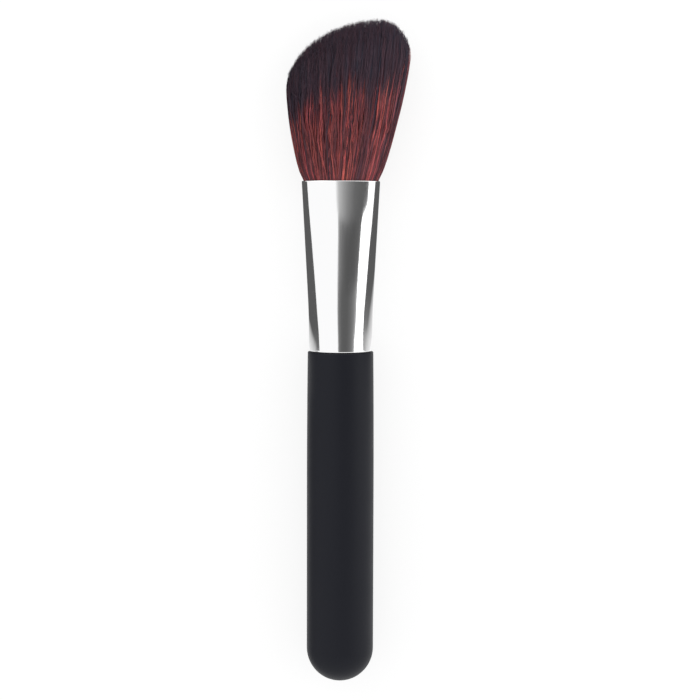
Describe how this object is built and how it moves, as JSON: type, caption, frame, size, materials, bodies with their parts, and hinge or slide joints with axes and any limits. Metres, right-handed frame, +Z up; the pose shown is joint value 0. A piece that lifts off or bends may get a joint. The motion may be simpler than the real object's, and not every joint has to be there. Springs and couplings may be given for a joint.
{
  "type": "angled makeup brush",
  "caption": "Angled makeup brush with a slanted tuft of black and red hair, a pressed oval metal ferrule and a turned black handle with a round butt.",
  "frame": {"origin": "centre of the brush's bounding box in plan, on the surface that it lies on", "axes": "+Y along the brush from the round butt to the hair, +X across its broad side towards the long side of the slant, +Z up through its thin side"},
  "size_m": [0.0308, 0.1654, 0.0169],
  "materials": {
    "handle_lacquer": "satin",
    "ferrule_metal": "polished",
    "hair": "satin",
    "thread": "matte",
    "resin": "gloss"
  },
  "bodies": {
    "root": {"handle": "handle_lacquer", "ferrule": "ferrule_metal", "bristle_tuft": "hair", "root_binding": "thread", "resin_plug": "resin"}
  },
  "joints": []
}
